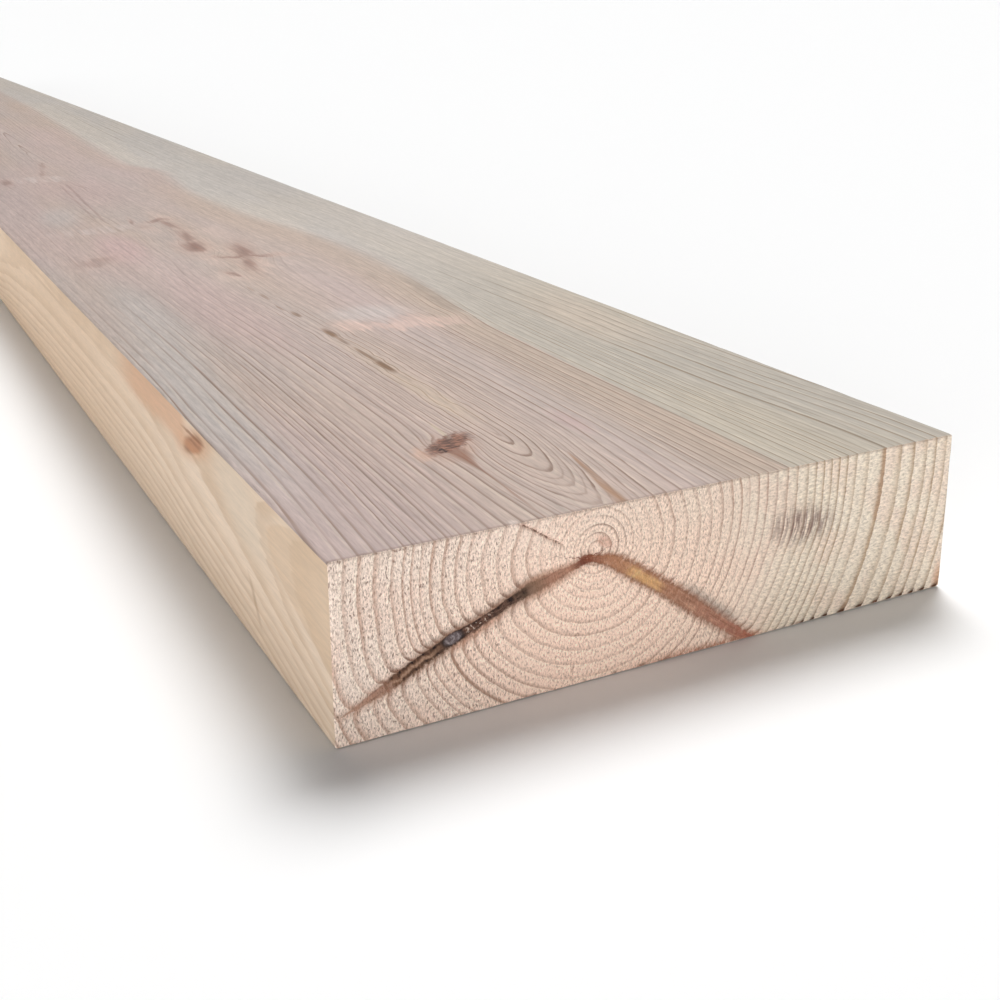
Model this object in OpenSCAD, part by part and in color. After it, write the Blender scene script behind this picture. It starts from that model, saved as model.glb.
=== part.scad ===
// Sawn timber plank: one straight softwood board of rectangular section.
// All sizes are in millimetres. The plank lies flat on its wide face:
// +X runs along the grain, +Y across the face, +Z up through the thickness.
// The origin is the middle of the underside.

/* [Plank] */
// Length along the grain, cut square at both ends
plank_l = 2400; // [1800:300:5400]
// Width of the wide face
plank_w = 200; // [100:5:300]
// Thickness of the section
plank_t = 50; // [25:1:100]

/* [Edges] */
// Radius that the four long arrises are eased to
arris_r = 0.8; // [0.3:0.1:3]
// Colour of the bare wood
wood_colour = "#CBB49D"; // ["#CBB49D":air dried, "#E2CBB2":fresh sawn, "#A99A88":weathered]

/* [Hidden] */
$fn = 64;

// Half sizes of the section's inner cross, measured to the arris centres
inner_w = plank_w - 2 * arris_r;
inner_t = plank_t - 2 * arris_r;

// Cross section, drawn with its underside on the first axis:
// two overlapping rectangles and one true arc at each arris.
module section() {
    translate([0, plank_t / 2]) {
        square([inner_w, plank_t], center = true);
        square([plank_w, inner_t], center = true);
        for (sx = [-1, 1], sy = [-1, 1])
            translate([sx * inner_w / 2, sy * inner_t / 2])
                circle(r = arris_r);
    }
}

// The section pushed along the grain. The turn takes the section's first axis
// to +Y and its second axis to +Z, so that the extrusion runs along +X.
module plank() {
    color(wood_colour)
        translate([-plank_l / 2, 0, 0])
            rotate([90, 0, 90])
                linear_extrude(height = plank_l)
                    section();
}

plank();
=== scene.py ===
import math

import bpy
import numpy as np
from mathutils import Matrix, Vector


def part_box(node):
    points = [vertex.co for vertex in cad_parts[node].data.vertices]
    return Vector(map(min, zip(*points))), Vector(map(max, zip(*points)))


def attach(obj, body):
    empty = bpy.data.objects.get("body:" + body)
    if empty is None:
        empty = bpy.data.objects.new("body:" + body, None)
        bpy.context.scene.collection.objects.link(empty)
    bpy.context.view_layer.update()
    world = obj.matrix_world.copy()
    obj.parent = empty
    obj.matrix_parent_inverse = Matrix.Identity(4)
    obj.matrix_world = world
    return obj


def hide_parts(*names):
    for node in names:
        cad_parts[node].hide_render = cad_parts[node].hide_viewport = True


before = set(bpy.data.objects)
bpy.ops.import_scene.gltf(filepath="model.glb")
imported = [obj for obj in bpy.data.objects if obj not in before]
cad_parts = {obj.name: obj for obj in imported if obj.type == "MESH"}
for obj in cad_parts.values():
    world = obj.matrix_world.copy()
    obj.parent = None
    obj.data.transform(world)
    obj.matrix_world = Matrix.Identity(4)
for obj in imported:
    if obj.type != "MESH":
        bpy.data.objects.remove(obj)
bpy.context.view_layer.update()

# ---------------------------------------------------------------------------
# Sizes, in millimetres. s runs from the near end along the grain, y across the
# wide face from the front edge, z up from the underside.
# ---------------------------------------------------------------------------
lo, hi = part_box("plank")
L, W, T = [round(1000 * (b - a), 4) for a, b in zip(lo, hi)]
ARRIS = 0.8   # eased long edges
NIP = 0.35    # easing of the saw-cut end edges


def smooth(a, b, x):
    t = np.clip((x - a) / (b - a), 0.0, 1.0)
    return t * t * (3.0 - 2.0 * t)


def bell(x):
    return np.exp(-x * x)


# ---------------------------------------------------------------------------
# Seeded lattice noise, -1..1
# ---------------------------------------------------------------------------
def _lattice(ix, iy, iz, seed):
    with np.errstate(over="ignore"):
        h = (ix.astype(np.uint32) * np.uint32(374761393)
             + iy.astype(np.uint32) * np.uint32(668265263)
             + iz.astype(np.uint32) * np.uint32(2246822519)
             + np.uint32((seed * 3266489917) & 0xFFFFFFFF))
        h = (h ^ (h >> np.uint32(15))) * np.uint32(2246822519)
        h = (h ^ (h >> np.uint32(13))) * np.uint32(3266489917)
        h = h ^ (h >> np.uint32(16))
    return h.astype(np.float64) / 2147483647.5 - 1.0


def noise(x, y, z, seed=1):
    x, y, z = np.broadcast_arrays(*[np.asarray(v, float) for v in (x, y, z)])
    fx, fy, fz = np.floor(x), np.floor(y), np.floor(z)
    ix, iy, iz = fx.astype(np.int64), fy.astype(np.int64), fz.astype(np.int64)
    u, v, w = x - fx, y - fy, z - fz
    u, v, w = [t * t * t * (t * (t * 6 - 15) + 10) for t in (u, v, w)]
    out = 0.0
    for a in (0, 1):
        for b in (0, 1):
            for c in (0, 1):
                wt = (u if a else 1 - u) * (v if b else 1 - v) * (w if c else 1 - w)
                out = out + wt * _lattice(ix + a, iy + b, iz + c, seed)
    return out


def fbm(x, y, z, seed=1, octaves=3):
    out, amp, tot = 0.0, 1.0, 0.0
    for i in range(octaves):
        out = out + amp * noise(x * 2 ** i, y * 2 ** i, z * 2 ** i, seed + 17 * i)
        tot += amp
        amp *= 0.5
    return out / tot


# ---------------------------------------------------------------------------
# The wood: a pith line, growth rings about it, branches that cross them
# ---------------------------------------------------------------------------
STEP = np.arange(0.0, L + 1.0)


def course(points, sigma):
    """A smooth table along the grain through listed points (s, value)."""
    p = np.array(points, float)
    v = np.interp(STEP, p[:, 0], p[:, 1])
    n = int(3 * sigma)
    ker = np.exp(-0.5 * (np.arange(-n, n + 1) / sigma) ** 2)
    ker /= ker.sum()
    pad = np.concatenate([2 * v[0] - v[n:0:-1], v, 2 * v[-1] - v[-2:-n - 2:-1]])
    return np.convolve(pad, ker, "valid")


PITH_Y = course([(0, 74.2), (20, 75.2), (48, 77.2), (62, 78.2), (100, 78.8), (140, 79.1), (200, 79.0), (240, 77.8), (290, 76.8),
                 (340, 79), (390, 86), (420, 84), (470, 86), (510, 83), (600, 78), (680, 72), (760, 70), (900, 73), (1100, 80),
                 (1300, 88), (1500, 94), (1800, 90), (2100, 86), (2400, 92)], 6)
PITH_Z = course([(0, 38.2), (14.3, 40.2), (27, 42.6), (42, 45.0), (53, 47.4), (62, 48.8), (80, 49.8), (110, 50.3), (200, 50.5),
                 (260, 50.3), (330, 49.6), (400, 50.2), (470, 50.4), (560, 49.2), (680, 48.5), (760, 49.4), (900, 46),
                 (1200, 41), (1600, 35), (2000, 30), (2400, 27)], 3)
# where the outer rings have their middle: towards the front edge, at the heartwood's edge, in the sapwood
FRONT_Y = course([(0, 73.4), (20, 75.0), (48, 76.9), (60, 77.5), (100, 78.6), (133, 79.2), (150, 79.9), (190, 80.6), (220, 80.7),
                  (300, 80.8), (400, 80.6), (440, 80.4), (520, 79.8), (620, 77), (760, 74), (1000, 77), (1400, 82), (2400, 84)], 9)
FRONT_Z = course([(0, 39.0), (50, 39.8), (100, 41.5), (150, 43.5), (220, 45.0), (300, 45.6), (400, 44.6), (520, 42.5), (760, 40.0),
                  (1200, 37.0), (2400, 30.0)], 12)
HEART_Y = course([(0, 137.8), (130, 138.0), (180, 138.6), (208, 140.2), (235, 143.5), (270, 147), (300, 150), (340, 152.5),
                  (370, 152), (400, 150), (425, 147), (450, 144), (475, 139.5), (500, 136), (550, 133), (600, 131), (640, 134),
                  (690, 139), (735, 143), (770, 129), (800, 127), (900, 130), (1000, 134), (1050, 137), (1150, 140.5),
                  (1250, 145), (1300, 147), (1500, 152), (1800, 157), (2100, 160), (2400, 162)], 9)
BACK_Y = course([(0, 73.6), (20, 73.7), (40, 72.6), (60, 70.9), (80, 69.6), (100, 68.9), (130, 67.8), (150, 66.9), (190, 68.0),
                 (240, 66.2), (290, 65.0), (400, 66), (600, 62), (800, 60), (1100, 64), (1500, 72), (1900, 76), (2400, 80)], 7)

# ring radii towards the back edge and towards the front edge
RING_BACK = [0, 2.6, 5.0, 7.4, 9.8, 12.1, 14.6, 18.0, 21.6, 25.3, 29.6, 33.8, 37.6, 41.2, 44.7, 47.7, 50.4, 53.7, 56.8, 60.2,
             63.9, 67.4, 71.2, 74.2, 77.2, 80.0, 82.9, 86.0, 89.4, 94.0, 100.2, 106.4, 111.8, 116.8, 120.6, 124.6, 129.0,
             134.0, 139.0, 144.0, 149.0]
RING_FRONT = [0, 2.5, 4.7, 6.9, 9.1, 11.2, 13.6, 17.0, 20.8, 24.8, 28.8, 33.0, 37.0, 40.3, 43.8, 47.2, 49.9, 52.4, 54.6, 57.6,
              62.4, 66.6, 70.4, 75.8, 79.1, 82.2, 84.9, 87.3, 90.0, 93.0, 96.0, 99.0, 102.0, 105.0, 108.0, 111.0, 114.0,
              117.0, 120.0, 123.0, 126.0]
COUNT = np.arange(len(RING_BACK))
STRONG = 30      # the one dark ring in the sapwood
LAST_HEART = 20  # the ring at the heartwood's edge

# spike knots in the near end: points (y, z) from the pith outwards, then (distance along, half width)
LEFT_AXIS = [(72.3, 36.0), (69.5, 35.0), (66.5, 34.1), (62.0, 32.9), (58.0, 31.8), (55.0, 31.0), (52.0, 29.9), (48.0, 28.3),
             (44.0, 26.4), (40.0, 24.8), (36.0, 23.2), (32.0, 21.8), (28.0, 20.0), (24.0, 18.2), (20.0, 16.2), (16.0, 14.2),
             (13.0, 12.8), (10.0, 11.5), (6.0, 9.8), (2.6, 8.5)]
LEFT_HALF = [(0, 1.1), (3, 0.9), (6, 0.85), (10, 1.45), (15, 1.9), (18, 1.8), (21, 1.45), (25, 1.15), (30, 1.15), (34, 1.25),
             (38, 1.45), (42, 1.8), (46, 1.6), (51, 1.7), (56, 1.8), (60, 1.75), (63, 1.5), (67, 1.05), (71, 0.55), (75, 0.12)]
RIGHT_AXIS = [(71.0, 36.2), (75.0, 35.2), (79.0, 34.0), (83.0, 31.6), (87.0, 28.9), (91.0, 26.1), (95.0, 23.3), (99.0, 20.4),
              (103.0, 17.3), (107.0, 14.2), (111.0, 11.1), (115.0, 8.1), (119.0, 5.1), (123.0, 2.2), (127.0, -0.6), (132.0, -4.0)]
RIGHT_HALF = [(0, 1.0), (4, 1.2), (8, 1.85), (12, 2.2), (17, 2.35), (22, 2.3), (27, 2.25), (32, 2.4), (37, 2.5), (42, 2.45),
              (47, 2.35), (52, 2.25), (57, 2.15), (62, 2.0), (67, 1.8), (73, 1.5)]


def rounded(points, n=8):
    """A Catmull-Rom line through listed points."""
    p = np.array(points, float)
    p = np.vstack([2 * p[0] - p[1], p, 2 * p[-1] - p[-2]])
    out = []
    for i in range(1, len(p) - 2):
        for t in np.arange(n) / n:
            out.append(0.5 * (2 * p[i] + (p[i + 1] - p[i - 1]) * t
                              + (2 * p[i - 1] - 5 * p[i] + 4 * p[i + 1] - p[i + 2]) * t * t
                              + (3 * p[i] - p[i - 1] - 3 * p[i + 1] + p[i + 2]) * t ** 3))
    out.append(p[-2])
    return np.array(out)


def beside(line, y, z):
    """(distance along, signed distance beside) of points from a line; + is above the line."""
    a, b = line[:-1], line[1:]
    ab = b - a
    ln = np.hypot(ab[:, 0], ab[:, 1])
    start = np.concatenate([[0], np.cumsum(ln)[:-1]])
    best = np.full(len(y), 1e9)
    along = np.zeros(len(y))
    side = np.zeros(len(y))
    for i in range(len(a)):
        ty, tz = ab[i] / ln[i]
        py, pz = y - a[i, 0], z - a[i, 1]
        t = np.clip(py * ty + pz * tz, 0, ln[i])
        d = np.hypot(py - t * ty, pz - t * tz)
        hit = d < best
        best = np.where(hit, d, best)
        along = np.where(hit, start[i] + t, along)
        up = (ty * pz - tz * py) * (1 if ty > 0 else -1)
        side = np.where(hit, np.where(up >= 0, d, -d), side)
    return along, side


LEFT_LINE, RIGHT_LINE = rounded(LEFT_AXIS), rounded(RIGHT_AXIS)


def halfwidth(table, t):
    p = np.array(table, float)
    return np.interp(t, p[:, 0], p[:, 1])


# Knots on the long faces: face, s, place across, half length along the grain, half width across, turn of the
# long axis (degrees from the grain), how strongly the grain is pushed aside, depth of the dent in mm.
KNOTS = [
    ("top", 63.5, 62.0, 8.4, 3.9, 53.0, 0.55, 0.34),
    ("top", 379.0, 95.0, 14.0, 3.6, 108.0, 0.60, 0.14),
    ("top", 376.0, 96.5, 24.0, 3.8, 12.0, 0.45, 0.12),
    ("top", 418.0, 80.5, 13.0, 4.8, 10.0, 0.80, 0.20),
    ("top", 500.0, 86.0, 14.0, 3.0, -6.0, 0.60, 0.10),
    ("top", 716.0, 31.0, 12.0, 4.0, 0.0, 0.70, 0.10),
    ("left", 121.0, 44.0, 12.0, 3.2, 12.0, 0.50, 0.16),
    ("left", 760.0, 27.0, 13.0, 8.0, 6.0, 0.90, 0.18),
    ("bottom", 398.0, 62.0, 14.0, 10.0, 4.0, 0.90, 0.20),
    ("bottom", 764.0, 112.0, 14.0, 11.0, 0.0, 0.90, 0.20),
    ("bottom", 1508.0, 118.0, 15.0, 11.0, 5.0, 0.90, 0.20),
    ("top", 1512.0, 78.0, 14.0, 9.0, -8.0, 0.90, 0.20),
    ("left", 1518.0, 30.0, 12.0, 7.0, 0.0, 0.90, 0.18),
]

# ---------------------------------------------------------------------------
# The mesh: graded grids, fine where the wood shows fine relief
# ---------------------------------------------------------------------------


def graded(stops):
    """Stations from listed (place, spacing) pairs, spacing blended in between."""
    p = np.array(stops, float)
    fine = np.linspace(p[0, 0], p[-1, 0], 20001)
    dens = 1.0 / np.interp(fine, p[:, 0], p[:, 1])
    cum = np.concatenate([[0], np.cumsum((dens[1:] + dens[:-1]) / 2 * np.diff(fine))])
    n = max(2, int(round(cum[-1])))
    return np.interp(np.linspace(0, cum[-1], n + 1), cum, fine)


S_ROW = graded([(NIP, 1.1), (15, 1.9), (90, 1.9), (140, 3.4), (200, 3.6), (235, 3.8), (300, 8), (360, 7), (540, 8), (640, 20),
                (720, 15), (780, 15), (900, 30), (1600, 46), (2250, 46), (2385, 14), (L - NIP, 2.5)])
Y_TOP = graded([(ARRIS, 0.8), (6, 1.3), (45, 1.2), (55, 0.9), (95, 0.9), (110, 1.3), (194, 1.4), (W - ARRIS, 0.8)])
Y_BOT = graded([(ARRIS, 1.2), (10, 5.0), (190, 5.0), (W - ARRIS, 1.2)])
Z_LEFT = graded([(ARRIS, 0.9), (4, 1.4), (46, 1.4), (T - ARRIS, 0.9)])
Z_RIGHT = graded([(ARRIS, 1.2), (6, 3.6), (44, 3.6), (T - ARRIS, 1.2)])
ARC = np.radians([22.5, 45.0, 67.5])

# section loop, clockwise seen from the near end, from the front top corner
sec = []        # (y, z, ny, nz, face)


def corner(cy, cz, a0):
    for a in ARC:
        b = a0 - a
        sec.append((cy + ARRIS * math.cos(b), cz + ARRIS * math.sin(b), math.cos(b), math.sin(b), "arc"))


for v in Y_TOP:
    sec.append((v, T, 0, 1, "top"))
corner(W - ARRIS, T - ARRIS, math.pi / 2)
for v in Z_RIGHT[::-1]:
    sec.append((W, v, 1, 0, "right"))
corner(W - ARRIS, ARRIS, 0)
for v in Y_BOT[::-1]:
    sec.append((v, 0, 0, -1, "bottom"))
corner(ARRIS, ARRIS, -math.pi / 2)
for v in Z_LEFT:
    sec.append((0, v, -1, 0, "left"))
corner(ARRIS, T - ARRIS, math.pi)
NS, NR = len(S_ROW), len(sec)
sec_y, sec_z, sec_ny, sec_nz = [np.array([p[i] for p in sec], float) for i in range(4)]
sec_face = np.array([p[4] for p in sec])

vs = np.repeat(S_ROW, NR)
vy, vz = np.tile(sec_y, NS), np.tile(sec_z, NS)
nx, ny, nz = np.zeros(NS * NR), np.tile(sec_ny, NS), np.tile(sec_nz, NS)
face = np.tile(sec_face, NS)
faces, group = [], []


def walk(y, z):
    """Place round the section, 0..4, for joining two loops."""
    u = np.clip((y - 2.0) / (W - 4.0), 0, 1)
    v = np.clip((z - 2.0) / (T - 4.0), 0, 1)
    out = np.empty(len(y))
    for i in range(len(y)):
        e = [T - z[i], W - y[i], z[i], y[i]]
        k = int(np.argmin(e))
        out[i] = [u[i], 1 + 1 - v[i], 2 + 1 - u[i], 3 + v[i]][k]
    out[0] = min(out[0], 0.0)
    return np.maximum.accumulate(out)


idx = np.arange(NS * NR).reshape(NS, NR)
for j in range(NR):
    k = (j + 1) % NR
    q = np.stack([idx[:-1, j], idx[:-1, k], idx[1:, k], idx[1:, j]], 1)
    faces += q.tolist()
    group += [j] * len(q)


def cap(s_end, row, step_y, step_z, outward):
    """A saw-cut end: a small easing, then a grid joined to it."""
    global vs, vy, vz, nx, ny, nz, face
    base = len(vs)
    iy, iz = sec_y - NIP * sec_ny, sec_z - NIP * sec_nz
    m = 1.15
    gy = np.linspace(m, W - m, int(round((W - 2 * m) / step_y)) + 1)
    gz = np.linspace(m, T - m, int(round((T - 2 * m) / step_z)) + 1)
    A, B = len(gy), len(gz)
    yy, zz = np.meshgrid(gy, gz, indexing="ij")
    vs = np.concatenate([vs, np.full(NR + A * B, s_end)])
    vy = np.concatenate([vy, iy, yy.ravel()])
    vz = np.concatenate([vz, iz, zz.ravel()])
    nx = np.concatenate([nx, np.full(NR + A * B, float(outward))])
    ny = np.concatenate([ny, np.zeros(NR + A * B)])
    nz = np.concatenate([nz, np.zeros(NR + A * B)])
    name = "near" if outward > 0 else "far"
    face = np.concatenate([face, np.full(NR, name), np.full(A * B, name)])
    tag = -1 if outward > 0 else -2
    loop = base + np.arange(NR)
    flip = (lambda f: f) if outward > 0 else (lambda f: f[::-1])
    for j in range(NR):                                   # the easing
        k = (j + 1) % NR
        faces.append(flip([int(loop[j]), int(loop[k]), int(idx[row, k]), int(idx[row, j])]))
        group.append(tag)
    g = base + NR + np.arange(A * B).reshape(A, B)
    rim = np.concatenate([g[:-1, -1], g[-1, :0:-1], g[:0:-1, 0], g[0, :-1]])
    wa = walk(iy, iz)
    wb = walk(vy[rim], vz[rim])
    i = j = 0
    n, m2 = NR, len(rim)
    ea, eb = np.append(wa, wa[0] + 4), np.append(wb, wb[0] + 4)
    while i < n or j < m2:
        if j >= m2 or (i < n and ea[i + 1] <= eb[j + 1]):
            faces.append(flip([int(loop[i % n]), int(rim[j % m2]), int(loop[(i + 1) % n])]))
            i += 1
        else:
            faces.append(flip([int(loop[i % n]), int(rim[j % m2]), int(rim[(j + 1) % m2])]))
            j += 1
        group.append(tag)
    a, b, c, d = g[:-1, :-1].ravel(), g[1:, :-1].ravel(), g[1:, 1:].ravel(), g[:-1, 1:].ravel()
    q = np.stack([a, b, c, d], 1) if outward > 0 else np.stack([d, c, b, a], 1)
    faces.extend(q.tolist())
    group.extend([tag] * len(q))


cap(0.0, 0, 0.53, 0.53, 1)
cap(L, NS - 1, 2.4, 2.4, -1)
NV = len(vs)
group = np.array(group)
near, far = face == "near", face == "far"
on_top = face == "top"
arc = face == "arc"
top_w = np.where(on_top, 1.0, 0.0)
top_w = np.where(arc, np.clip(nz, 0, 1) ** 2, top_w)
near_w = near.astype(float)
side_w = np.where(face == "left", 1.0, 0.0)
side_w = np.where(arc, np.clip(-ny, 0, 1) ** 2, side_w)

# ---------------------------------------------------------------------------
# Fields of the wood at every vertex
# ---------------------------------------------------------------------------
py, pz = np.interp(vs, STEP, PITH_Y), np.interp(vs, STEP, PITH_Z)
hb = np.interp(vs, STEP, HEART_Y)
fy, fz = np.interp(vs, STEP, FRONT_Y), np.interp(vs, STEP, FRONT_Z)
b2 = np.interp(vs, STEP, BACK_Y)
b1 = 73.9 + (hb - 137.8) * np.where(vs > 300, 0.9, 1.0)

# knots on the long faces push the grain aside
qy, qz = vy.copy(), vz.copy()
dent = np.zeros(NV)
knot = np.zeros(NV)
for name, s0, c0, a, b, turn, push, deep in KNOTS:
    out_n = {"top": nz, "bottom": -nz, "left": -ny, "right": ny}[name]
    on = ((face == name) | (arc & (out_n > 0.3))) & (np.abs(vs - s0) < 9 * a + 60)
    c = vy[on] if name in ("top", "bottom") else vz[on]
    du, dv = vs[on] - s0, c - c0
    ca, sa = math.cos(math.radians(turn)), math.sin(math.radians(turn))
    e = np.hypot((du * ca + dv * sa) / a, (dv * ca - du * sa) / b)
    half = math.hypot(a * sa, b * ca)           # its reach across the grain
    reach = math.hypot(a * ca, b * sa)
    rho = (du / (0.8 + reach / max(half, 1.0))) ** 2 + dv ** 2 + 1e-6
    R2 = (push * half) ** 2
    move = -dv * np.minimum(R2 / np.maximum(rho, R2), 1.0)
    if name in ("top", "bottom"):
        qy[on] = qy[on] + move
    else:
        qz[on] = qz[on] + move
    lev = smooth(1.25, 0.7, e + 0.25 * noise(du / 3.0, dv / 2.0, s0 * 0.37, 31))
    knot[on] = np.maximum(knot[on], lev)
    dent[on] = np.maximum(dent[on], deep * lev)

# spike knots of the near end
lt, ld = beside(LEFT_LINE, vy, vz)
rt, rd = beside(RIGHT_LINE, vy, vz)
lw, rw = halfwidth(LEFT_HALF, lt), halfwidth(RIGHT_HALF, rt)
depth = np.clip(vs, 0, None)
l_out = np.hypot(np.maximum(np.abs(ld) - lw, 0), depth * 0.6)
r_out = np.hypot(np.maximum(np.abs(rd) - rw, 0), depth * 0.6)
lq, rq = ld / np.maximum(lw, 0.2), rd / np.maximum(rw, 0.2)

dy = qy - py
wf = smooth(12, 45, -dy)
w1, w2 = smooth(16, 55, dy), smooth(68, 94, dy)
cy = py + wf * (fy - py) + w1 * (b1 - py) + w2 * (b2 - b1)
cz = pz + wf * (fz - pz) + 9.5 * smooth(22, 85, dy)
ry, rz = qy - cy, qz - cz
r = np.hypot(ry, rz)
# small wander of the pith, felt only close to it
close = np.exp(-r / 7.0) * smooth(60, 120, vs)
ry = ry + close * (1.1 * noise(vs / 15.0, 3.1, 0, 11) + 0.7 * noise(vs / 6.0, 9.1, 0, 12))
rz = rz + close * 0.9 * noise(vs / 11.0, 5.7, 0, 13)
r = np.hypot(ry, rz)
ca_, sa_ = ry / np.maximum(r, 1e-6), rz / np.maximum(r, 1e-6)
r = r + 0.50 * noise(ca_ * 2.6 + 3, sa_ * 2.6 + 7, vs / 170.0 + r / 34.0, 21) * smooth(3, 22, r)
r = r + 0.20 * noise(ca_ * 8.0 + 1, sa_ * 8.0 + 4, vs / 75.0 + r / 15.0, 22) * smooth(3, 18, r)
# close to a branch the rings are drawn towards the pith
r = r + 2.1 * np.exp(-l_out / 1.6) * smooth(8, 20, lt) * (1 - smooth(70, 78, lt)) + 1.1 * np.exp(-r_out / 1.3) * smooth(6, 14, rt)
r = r - 0.8 * bell((vy - 146) / 15) * bell((vz - 32) / 7) * bell(vs / 12)
r = r - 2.2 * bell((vs - 212) / 11) * smooth(6, 30, dy) * (1 - smooth(58, 66, dy)) * smooth(25, 45, vz)
r = np.maximum(r, 0.02)
wl = smooth(-0.5, 0.5, -ca_)
ring = (1 - wl) * np.interp(r, RING_BACK, COUNT) + wl * np.interp(r, RING_FRONT, COUNT)
frac = ring - np.floor(ring)
late = smooth(0.45, 0.93, frac) * (1 - smooth(0.97, 1.0, frac))

# + inside the heartwood, mm
heart_r = 64.0 - np.hypot(vy - b1, vz - cz)
heart = np.where(vy > py, np.where(on_top | arc, hb - vy, heart_r), 60.0 - 0.0 * vy)
heart = np.where(face == "left", 60.0, heart)

# cracks in the near end
CRACK = rounded([(49.8, 50.6), (52.2, 49.3), (56.0, 47.0), (60.0, 44.2), (63.6, 41.9), (65.6, 40.3)])
ct, cd = beside(CRACK, vy, vz)
CHECK = rounded([(67.9, -0.5), (67.7, 3.0), (67.9, 6.0), (67.6, 8.5)])
ht, hd = beside(CHECK, vy, vz)
crack = np.where(near, np.clip(np.abs(cd), 0, 5), 5.0)
check = np.where(near, np.clip(np.abs(hd), 0, 5), 5.0)

# ---------------------------------------------------------------------------
# Relief, mm along the outward normal
# ---------------------------------------------------------------------------
left_w, right_w = smooth(62, 44, vy), smooth(112, 138, vy)
torn_l = noise(vy / 0.95, vz / 2.3, 0.5, 51) + 0.6 * noise(vy / 0.62, vz / 1.5, 3.5, 52)
torn_m = noise((vy + 0.8 * vz) / 1.25, (vz - 0.8 * vy) / 2.1, 1.5, 53) + 0.6 * noise((vy + 0.8 * vz) / 0.8, (vz - 0.8 * vy) / 1.2, 4.5, 54)
torn_r = 0.6 * noise(vy / 2.1, vz / 1.1, 2.5, 55) + 0.4 * noise(vy / 1.0, vz / 1.0, 6.5, 56)
torn = torn_m + left_w * (torn_l - torn_m) + right_w * (torn_r - torn_m)
pocket = bell((lt - 41.8) / 3.6) * bell(lq / 0.8)
slit = bell((lq - 0.55) / 0.4) * smooth(19, 25, lt) * (1 - smooth(58, 64, lt))
# a raised tuft of torn fibre at the top corner; its pale colour is partly a painted highlight
chip_and_highlight = bell((vy - 50.4) / 1.5) * bell((vz - 50.0) / 0.7) * near_w
# torn fibres along the bottom edge: sunk here, darkened in the shader as painted shade
tear_and_shade = np.exp(-np.maximum(vz, 0) / 0.9) * smooth(132, 150, vy) * near_w
inside_l = smooth(1.25, 0.8, np.abs(lq)) * smooth(2, 12, lt)
inside_r = smooth(1.2, 0.8, np.abs(rq))
end_rel = (-0.16 + 0.085 * (late - 0.3) + 0.060 * torn * (1 - 0.6 * np.maximum(inside_l, inside_r))
           - 0.45 * slit - 0.55 * pocket - 0.16 * inside_l - 0.10 * inside_r
           - 0.08 * np.exp(-r_out / 1.5) - 0.10 * np.exp(-l_out / 1.5)
           - 0.7 * bell(np.clip(cd, -3, 3) / 0.32) * smooth(19.5, 16, ct)
           - 0.35 * bell(hd / 0.35) * smooth(8.5, 5, ht)
           - 0.45 * tear_and_shade * smooth(0.45, 0.85, frac) + 0.12 * chip_and_highlight)
rel = np.zeros(NV)
rel = np.where(near, end_rel, rel)
rel = np.where(far, -0.10 + 0.05 * (late - 0.3) + 0.06 * torn_r, rel)
fibre = noise(vs / 24.0, vy / 1.6, vz / 1.6, 71) + 0.5 * noise(vs / 9.0, vy / 1.1, vz / 1.1, 72)
plain_rel = -0.06 + 0.06 * (late - 0.3) + 0.025 * fibre
plain_rel = plain_rel - dent * (0.65 + 0.5 * noise(vs / 2.2, vy / 1.4, vz / 1.4, 73)) + 0.08 * knot * (1 - knot) * 4 * 0.5
for s0, c0, a, b in [(156, 79.1, 13, 1.5), (207, 78.4, 9, 1.3), (243, 77.3, 6, 1.1)]:
    plain_rel = plain_rel - 0.10 * top_w * smooth(1.3, 0.6, np.hypot((vs - s0) / a, (vy - c0) / b))
rel = np.where(near | far, rel, plain_rel)
# arrises: lightly worn, with a nick here and there
wear = np.clip(noise(vs / 46.0, 7.3, nz * 3 + ny, 81), 0, 1) * 0.16 + np.clip(noise(vs / 9.0, 2.2, nz * 3 + ny, 82) - 0.55, 0, 1) * 0.6
rel = np.where(arc, -0.06 - wear, rel)
# ends of the long faces, where the saw lifted fibres
rim_e = np.where(~(near | far), np.exp(-np.minimum(vs, L - vs) / 1.2), 0)
rel = rel - rim_e * 0.10 * (1 + noise(vy / 1.3, vz / 1.3, vs, 83))

X = L / 2 - vs + nx * rel
Y = vy - W / 2 + ny * rel
Z = vz + nz * rel
# the easing of the near end follows the torn fibres
easing = near & (np.hypot(vy - np.clip(vy, 0.5, W - 0.5), vz - np.clip(vz, 0.5, T - 0.5)) > 0.0)
X = X - np.where(easing, 0.05 * (1 + noise(vy / 0.9, vz / 0.9, 7.7, 84)), 0)
coords = np.stack([X, Y, Z], 1) * 0.001 + np.array([(lo.x + hi.x) / 2, (lo.y + hi.y) / 2, lo.z])

me = bpy.data.meshes.new("timber_plank")
me.from_pydata(coords.tolist(), [], faces)
me.update()

for name, values in {
    "at_s": vs, "at_y": vy, "at_z": vz, "ring": ring, "f_end": (near | far).astype(float), "f_near": near_w, "f_top": top_w, "f_left": side_w, "heart": heart, "knot": knot,
    "l_t": lt, "l_q": np.where(near, np.clip(lq, -12, 12), 12.0), "l_d": np.clip(ld, -12, 12), "l_out": np.clip(l_out, 0, 12),
    "r_t": rt, "r_d": np.clip(rd, -12, 12), "r_out": np.clip(r_out, 0, 12),
    "r_q": np.where(near | (vs < 6), np.clip(np.hypot(rq, depth * 0.35) * np.where(rq < 0, -1, 1), -12, 12), 12.0),
    "crack": crack, "crack_t": ct, "check": check, "check_t": ht, "tear_and_shade": tear_and_shade, "chip_and_highlight": chip_and_highlight,
}.items():
    at = me.attributes.new(name, "FLOAT", "POINT")
    at.data.foreach_set("value", np.ascontiguousarray(values, dtype=np.float32))

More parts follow.
